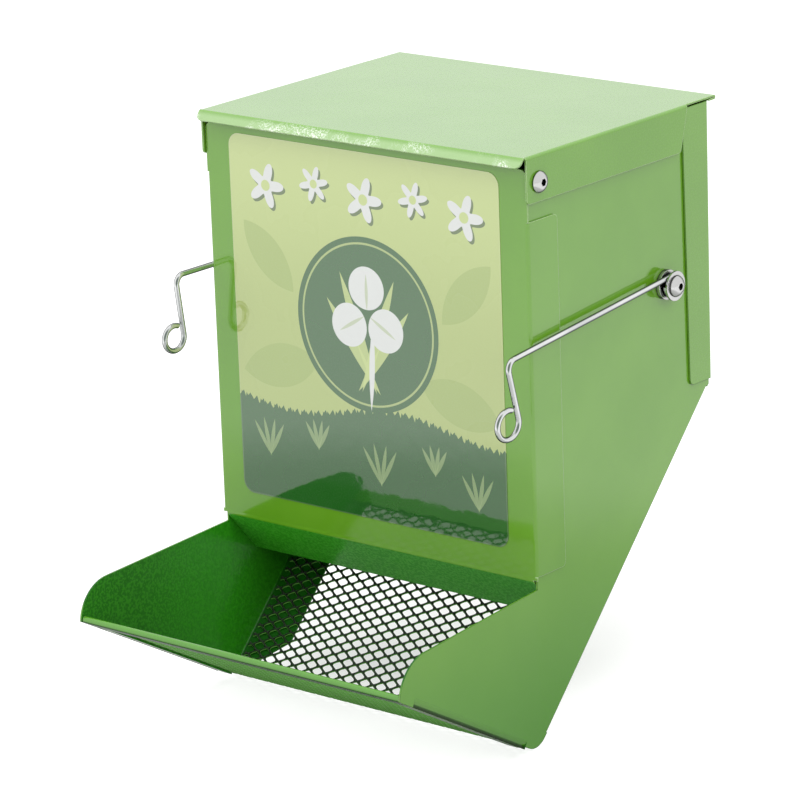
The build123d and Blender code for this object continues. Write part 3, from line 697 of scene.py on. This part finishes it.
# Painted shade on top and round the holes, and painted light on the green underneath.
colour = blend(tree, grain["Tone"], strand_top_painted_shade, strand_grey)
colour = blend(tree, ramp(tree, attribute_value(tree, "rim"), *hole_rim_shade_range), colour, hole_rim_painted_shade)
colour = blend(tree, ramp(tree, attribute_value(tree, "under"), *strand_under_range), colour, strand_under_painted_light)
tree.links.new(colour, shader.inputs["Base Color"])
tree.links.new(ramp(tree, grain["Speckle"], 0.0, 1.0, *strand_roughness), shader.inputs["Roughness"])
bump(tree, grain["Height"], face_normal(tree), shader.inputs["Normal"])
shader.inputs["Specular IOR Level"].default_value = strand_specular
base.data.materials.append(mesh_paint)
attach(base, "feeder_box")
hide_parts("mesh_floor_rear", "mesh_floor_front")

# ---- Front label ---------------------------------------------------------------------------------------
# A printed sticker with a clear glossy laminate, stuck on the front panel: a pale field, a dark green round
# with a white clover, a row of small white flowers, and a dark green hill with tufts of grass.
label_lo, label_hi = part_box("front_label")
field_top = (0.508, 0.608, 0.225, 1)
field_low = (0.400, 0.492, 0.155, 1)
field_range = (0.0, 0.075)
print_dark = (0.012, 0.106, 0.010, 1)
print_leaf = (0.300, 0.410, 0.100, 1)
print_white = (0.68, 0.70, 0.68, 1)
print_shadow = (0.10, 0.16, 0.05, 1)
print_blade = (0.300, 0.420, 0.170, 1)
print_fleck = (0.9, 0.9, 0.9, 1)
print_edge = 0.0001
fleck_share = 0.010
laminate_edge_highlight = (0.60, 0.68, 0.42, 1)
laminate_highlight_share = 0.12
laminate_highlight_inner = 0.0006
laminate_highlight_outer = 0.0003
laminate_ior = 2.1
laminate_roughness = 0.04
paper_roughness = (0.24, 0.32)
paper_specular = 0.12
label_corner = 0.005


def diagonal(tree, across, up):
    """The length of a line that runs so far across and so far up."""
    squares = calc(tree, "ADD", calc(tree, "POWER", across, 2.0), calc(tree, "POWER", up, 2.0))
    return calc(tree, "SQRT", squares)


def inked(tree, limit, value):
    """A crisp printed shape, where a value is under its limit."""
    return ramp(tree, calc(tree, "SUBTRACT", limit, value), -print_edge, print_edge)


# A pointed leaf: the part that two circles share.
leaf, given, made = named_group("leaf_shape", (
    ("Vector", "NodeSocketVector", None),
    ("Half Length", "NodeSocketFloat", 0.01),
    ("Half Width", "NodeSocketFloat", 0.004),
), (("Mask", "NodeSocketFloat"),))
spot = parts(leaf, given["Vector"])
long_square = calc(leaf, "POWER", given["Half Length"], 2.0)
wide_square = calc(leaf, "POWER", given["Half Width"], 2.0)
arc = calc(leaf, "DIVIDE", calc(leaf, "ADD", long_square, wide_square),
           calc(leaf, "MULTIPLY", given["Half Width"], 2.0))
across = calc(leaf, "ADD", calc(leaf, "ABSOLUTE", spot["X"]),
              calc(leaf, "SUBTRACT", arc, given["Half Width"]))
leaf.links.new(inked(leaf, arc, diagonal(leaf, across, spot["Z"])), made["Mask"])

# A flower: a circle with a waved edge. With no waist it is a plain round.
flower, given, made = named_group("flower_shape", (
    ("Vector", "NodeSocketVector", None),
    ("Radius", "NodeSocketFloat", 0.008),
    ("Petals", "NodeSocketFloat", 5.0),
    ("Waist", "NodeSocketFloat", 0.3),
), (("Mask", "NodeSocketFloat"), ("Reach", "NodeSocketFloat")))
spot = parts(flower, given["Vector"])
around = calc(flower, "ARCTAN2", spot["X"], spot["Z"])
reach = diagonal(flower, spot["X"], spot["Z"])
wave = calc(flower, "COSINE", calc(flower, "MULTIPLY", around, given["Petals"]))
outline = calc(flower, "MULTIPLY", given["Radius"],
               calc(flower, "ADD", calc(flower, "SUBTRACT", 1.0, given["Waist"]),
                    calc(flower, "MULTIPLY", wave, given["Waist"])))
flower.links.new(inked(flower, outline, reach), made["Mask"])
flower.links.new(reach, made["Reach"])

label_paint, tree, shader = new_material("label_print")
where = object_place(tree)
spot = parts(tree, where)
side_x = spot["X"]
up_z = spot["Z"]


def shifted(x, z, turn=0.0):
    """The place seen from a motif's middle, turned with it."""
    node = tree.nodes.new("ShaderNodeMapping")
    node.vector_type = "TEXTURE"
    node.inputs["Location"].default_value = (x, 0, z)
    node.inputs["Rotation"].default_value = (0, turn, 0)
    tree.links.new(where, node.inputs["Vector"])
    return node.outputs["Vector"]


def leaf_at(x, z, turn, half_length, half_width, share=1.0):
    """The mask of a leaf, thinned by a share."""
    shape = place_group(tree, leaf, Vector=shifted(x, z, turn),
                        Half_Length=half_length, Half_Width=half_width)
    return calc(tree, "MULTIPLY", shape["Mask"], share)


# The pale field is a little lighter towards its top, with faint leaves standing in it.
leaf_share = 0.6
colour = blend(tree, ramp(tree, up_z, *field_range), field_low, field_top)
for x, z, turn, half_length, half_width in (
        (-0.043, -0.016, 1.35, 0.019, 0.0085), (0.043, -0.018, -1.30, 0.019, 0.0085),
        (-0.047, 0.026, -0.75, 0.017, 0.0070), (0.047, 0.024, 0.75, 0.017, 0.0070)):
    colour = blend(tree, leaf_at(x, z, turn, half_length, half_width, leaf_share), colour, print_leaf)

# The hill: a slow wave, with blades of grass along its top, in two rows that lean apart.
hill_height = -0.031
swell_rate = 62.0
swell_start = 0.8
swell_height = 0.0035


def blade_row(lean, half_pitch, steepness):
    """A row of leaning blades, as a height over the hill."""
    leaned = calc(tree, "MULTIPLY_ADD", up_z, lean, side_x)
    return calc(tree, "MULTIPLY", calc(tree, "PINGPONG", leaned, half_pitch), steepness)


wave = calc(tree, "SINE", calc(tree, "MULTIPLY_ADD", side_x, swell_rate, swell_start))
blades = calc(tree, "MAXIMUM", blade_row(lean=0.28, half_pitch=0.0011, steepness=2.0),
              blade_row(lean=-0.22, half_pitch=0.0017, steepness=1.6))
hill = calc(tree, "ADD", calc(tree, "MULTIPLY_ADD", wave, swell_height, blades), hill_height)
colour = blend(tree, inked(tree, hill, up_z), colour, print_dark)

# The round, with a thin pale ring inside its edge.
round_height = 0.006
round_radius = 0.0335
ring_inner = (0.0304, 0.0306)
ring_outer = (0.0314, 0.0312)
ring_share = 0.7
disc = place_group(tree, flower, Vector=shifted(0.0, round_height), Radius=round_radius, Waist=0.0)
colour = blend(tree, disc["Mask"], colour, print_dark)
ring = calc(tree, "MULTIPLY", ramp(tree, disc["Reach"], *ring_inner), ramp(tree, disc["Reach"], *ring_outer))
colour = blend(tree, calc(tree, "MULTIPLY", ring, ring_share), colour, field_top)

# Hay stalks in the round, and the clover: a stem, and three round leaves with a fold.
stalk_foot = -0.020
stalk_spread = 0.55
stalk_rise = 0.95
stalk_half_width = 0.0022
stalk_share = 0.85
for turn, length in ((-0.62, 0.022), (-0.34, 0.025), (0.36, 0.025), (0.64, 0.022)):
    x = math.sin(turn) * length * stalk_spread
    z = stalk_foot + math.cos(turn) * length * stalk_rise
    mask = leaf_at(x, z, turn, length * stalk_rise, stalk_half_width, stalk_share)
    colour = blend(tree, mask, colour, field_top)
stem = leaf_at(x=0.0015, z=-0.010, turn=0.06, half_length=0.017, half_width=0.0013)
colour = blend(tree, stem, colour, print_white)
clover_middle = 0.010
clover_reach = 0.0085
fold_half_length = 0.0070
fold_half_width = 0.0007
fold_share = 0.5
for turn in (-2.1, 0.0, 2.1):
    x = math.sin(turn) * clover_reach
    z = clover_middle + math.cos(turn) * clover_reach
    lobe = place_group(tree, flower, Vector=shifted(x, z, turn), Radius=0.0098, Petals=1.0, Waist=0.16)
    colour = blend(tree, lobe["Mask"], colour, print_white)
    fold = leaf_at(x, z, turn, fold_half_length, fold_half_width, fold_share)
    colour = blend(tree, fold, colour, print_leaf)

# A row of white flowers with a dark shadow under each and a pale middle.
petal_turn = 0.3
eye_outer = 0.26
eye_inner = 0.22
shadow_right = 0.0009
shadow_down = 0.0010
for x, z, radius, petals in (
        (-0.0470, 0.0530, 0.0088, 5.0), (-0.0235, 0.0565, 0.0070, 6.0), (0.0, 0.0535, 0.0088, 5.0),
        (0.0235, 0.0565, 0.0070, 6.0), (0.0470, 0.0530, 0.0088, 5.0)):
    cast = shifted(x + shadow_right, z - shadow_down, petal_turn)
    shadow = place_group(tree, flower, Vector=cast, Radius=radius, Petals=petals)
    colour = blend(tree, shadow["Mask"], colour, print_shadow)
    bloom = place_group(tree, flower, Vector=shifted(x, z, petal_turn), Radius=radius, Petals=petals)
    colour = blend(tree, bloom["Mask"], colour, print_white)
    eye = ramp(tree, bloom["Reach"], radius * eye_outer, radius * eye_inner)
    colour = blend(tree, eye, colour, field_top)

# Paler tufts of grass on the hill.
blade_reach = 0.007
blade_half_length = 0.0075
blade_half_width = 0.0009
blade_share = 0.7
for x, z, size in ((-0.050, -0.052, 1.0), (-0.026, -0.046, 0.8), (0.004, -0.055, 1.1),
                   (0.030, -0.047, 0.8), (0.050, -0.057, 1.0)):
    for turn in (-0.55, -0.2, 0.18, 0.5):
        blade_x = x + math.sin(turn) * blade_reach * size
        blade_z = z + math.cos(turn) * blade_reach * size
        mask = leaf_at(blade_x, blade_z, turn, blade_half_length * size, blade_half_width, blade_share)
        colour = blend(tree, mask, colour, print_blade)

# A thin pale line along the laminate's cut edge, a painted highlight.
label_middle = (label_lo + label_hi) / 2
label_half = (label_hi - label_lo) / 2


def past_corner(value, centre, half):
    """How far a place lies past the start of the rounded corners, on one axis."""
    off = calc(tree, "ABSOLUTE", calc(tree, "SUBTRACT", value, centre))
    return calc(tree, "MAXIMUM", calc(tree, "SUBTRACT", off, half - label_corner), 0.0)


past_x = past_corner(side_x, label_middle.x, label_half.x)
past_z = past_corner(up_z, label_middle.z, label_half.z)
edge_highlight = ramp(tree, diagonal(tree, past_x, past_z),
                label_corner - laminate_highlight_inner, label_corner - laminate_highlight_outer)
colour = blend(tree, calc(tree, "MULTIPLY", edge_highlight, laminate_highlight_share), colour, laminate_edge_highlight)

grain = place_group(tree, skin, Vector=where, Peel_Depth=0.002, Ripple_Size=0.0055, Ripple_Depth=0.035)
colour = blend(tree, calc(tree, "MULTIPLY", grain["Speckle"], fleck_share), colour, print_fleck)
tree.links.new(colour, shader.inputs["Base Color"])
tree.links.new(ramp(tree, grain["Tone"], 0.0, 1.0, *paper_roughness), shader.inputs["Roughness"])
bump(tree, bowed(tree, where, grain["Height"]), face_normal(tree),
     shader.inputs["Normal"], shader.inputs["Coat Normal"])
shader.inputs["Specular IOR Level"].default_value = paper_specular
shader.inputs["Coat Weight"].default_value = 1.0
shader.inputs["Coat Roughness"].default_value = laminate_roughness
shader.inputs["Coat IOR"].default_value = laminate_ior
dress(label_paint, "front_label")

# ---- Lid -----------------------------------------------------------------------------------------------
# Folded from the same sheet: two side flanges, a short lip in front and a hemmed tongue behind. The front
# lip is painted paler, a painted reflection, with white specks near its tip as painted glints.
lid_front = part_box("lid")[0].y
lip_painted_reflection = (0.32, 0.50, 0.21, 1)
lip_reflection_share = 0.9
lip_start = 0.0030
lip_full = 0.0012
lip_glint_white = (0.86, 0.92, 0.82, 1)
lip_glint_share = 0.8
lip_glint_start = 0.0035
lip_glint_full = 0.0010
patch_scale = 42.0
patch_range = (0.46, 0.60)
glint_scale = 1500.0
glint_range = (0.48, 0.56)
lid_peel = 0.15
lid_coat_ior = 2.0
flange_coat = 0.76
lid_paint, tree, shader, where, colour, coat = enamel("lid_enamel", enamel_green, enamel_deep,
                                                      edge_painted_highlight, lid_peel)
depth = parts(tree, where)["Y"]
# Painted reflection: the front lip is paler.
on_lip = ramp(tree, depth, lid_front + lip_start, lid_front + lip_full)
colour = blend(tree, calc(tree, "MULTIPLY", on_lip, lip_reflection_share), colour, lip_painted_reflection)
# Painted glints: white specks near the tip of the lip.
near_tip = ramp(tree, depth, lid_front + lip_glint_start, lid_front + lip_glint_full)
patches = ramp(tree, noise(tree, where, patch_scale, detail=3.0, roughness=0.7), *patch_range)
glint_specks = ramp(tree, noise(tree, where, glint_scale, detail=3.0, roughness=0.7), *glint_range)
lip_glints = calc(tree, "MULTIPLY", calc(tree, "MULTIPLY", near_tip, patches), glint_specks)
colour = blend(tree, calc(tree, "MULTIPLY", lip_glints, lip_glint_share), colour, lip_glint_white)
tree.links.new(colour, shader.inputs["Base Color"])
thinner = calc(tree, "MULTIPLY", coat, ramp(tree, upward(tree), *turned_up, flange_coat, 1.0))
tree.links.new(thinner, shader.inputs["Coat Weight"])
shader.inputs["Coat IOR"].default_value = lid_coat_ior
dress(lid_paint, "lid")

# ---- Screws, washers and nuts --------------------------------------------------------------------------
# M4 button-head screws with hexagon sockets, flat washers and nuts, all bright zinc plated: one screw on
# each side for the lid, and one on each side for a hook.
zinc_dull = (0.60, 0.60, 0.59, 1)
zinc_bright = (0.74, 0.74, 0.74, 1)
# Painted dark reflections round the outline of the bright metal.
zinc_painted_dark_reflection = (0.04, 0.05, 0.04, 1)
zinc_reflection_range = (0.38, 0.62)
zinc_facing = 0.42
zinc_roughness = (0.12, 0.24)
# Painted shade in the hexagon sockets and creases, by ambient occlusion.
socket_painted_shade = (0.02, 0.02, 0.02, 1)
socket_reach = 0.0022
socket_shade_range = (0.85, 0.45)


def facing(tree, share):
    """How far the surface turns away from the eye, for the painted dark reflections round the outlines of
    bright metal.
    """
    node = tree.nodes.new("ShaderNodeLayerWeight")
    node.inputs["Blend"].default_value = share
    return node.outputs["Facing"]


zinc, tree, shader = new_material("bright_zinc")
grain = place_group(tree, skin, Vector=object_place(tree), Peel_Size=0.0003, Peel_Depth=0.003,
                    Ripple_Size=0.002, Ripple_Depth=0.01)
rim = place_group(tree, edge)
colour = blend(tree, grain["Tone"], zinc_dull, zinc_bright)
# Painted dark reflection round the outline.
colour = blend(tree, ramp(tree, facing(tree, zinc_facing), *zinc_reflection_range), colour, zinc_painted_dark_reflection)
# Painted shade in sockets and creases.
occlusion_shade = tree.nodes.new("ShaderNodeAmbientOcclusion")
occlusion_shade.inputs["Distance"].default_value = socket_reach
colour = blend(tree, ramp(tree, occlusion_shade.outputs["AO"], *socket_shade_range), colour, socket_painted_shade)
tree.links.new(colour, shader.inputs["Base Color"])
tree.links.new(ramp(tree, grain["Speckle"], 0.0, 1.0, *zinc_roughness), shader.inputs["Roughness"])
bump(tree, grain["Height"], rim["Normal"], shader.inputs["Normal"])
shader.inputs["Metallic"].default_value = 1.0
dress(zinc, "lid_pivot_screws", "lid_pivot_washers", "lid_pivot_nuts", "hook_pivot_screws",
      "hook_outer_washers", "hook_inner_washers", "hook_pivot_nuts")

# ---- Wire hooks ----------------------------------------------------------------------------------------
# Hard-drawn steel wire, 2.2 mm, bent round pins into an eye, a corner and an open loop, then nickel plated.
# Each turns on its own screw.
wire_dull = (0.66, 0.68, 0.68, 1)
wire_bright = (0.90, 0.91, 0.91, 1)
# Painted reflections: a dark streak along the middle of the wire and dark outlines at its sides.
wire_core_painted_reflection = (0.15, 0.19, 0.16, 1)
wire_core_reflection_range = (0.02, 0.10)
wire_outline_painted_reflection = (0.03, 0.04, 0.03, 1)
wire_outline_reflection_range = (0.30, 0.54)
wire_facing = 0.45
wire_roughness = (0.10, 0.22)
plated, tree, shader = new_material("plated_wire")
grain = place_group(tree, skin, Vector=object_place(tree), Peel_Size=0.0006, Peel_Depth=0.003,
                    Ripple_Size=0.006, Ripple_Depth=0.02)
facing_away = facing(tree, wire_facing)
bright = blend(tree, grain["Tone"], wire_dull, wire_bright)
# Painted dark reflection along the middle and at the outlines.
colour = blend(tree, ramp(tree, facing_away, *wire_core_reflection_range), wire_core_painted_reflection, bright)
colour = blend(tree, ramp(tree, facing_away, *wire_outline_reflection_range), colour, wire_outline_painted_reflection)
tree.links.new(colour, shader.inputs["Base Color"])
tree.links.new(ramp(tree, grain["Speckle"], 0.0, 1.0, *wire_roughness), shader.inputs["Roughness"])
bump(tree, grain["Height"], face_normal(tree), shader.inputs["Normal"])
shader.inputs["Metallic"].default_value = 1.0
dress(plated, "left_hook", "right_hook")
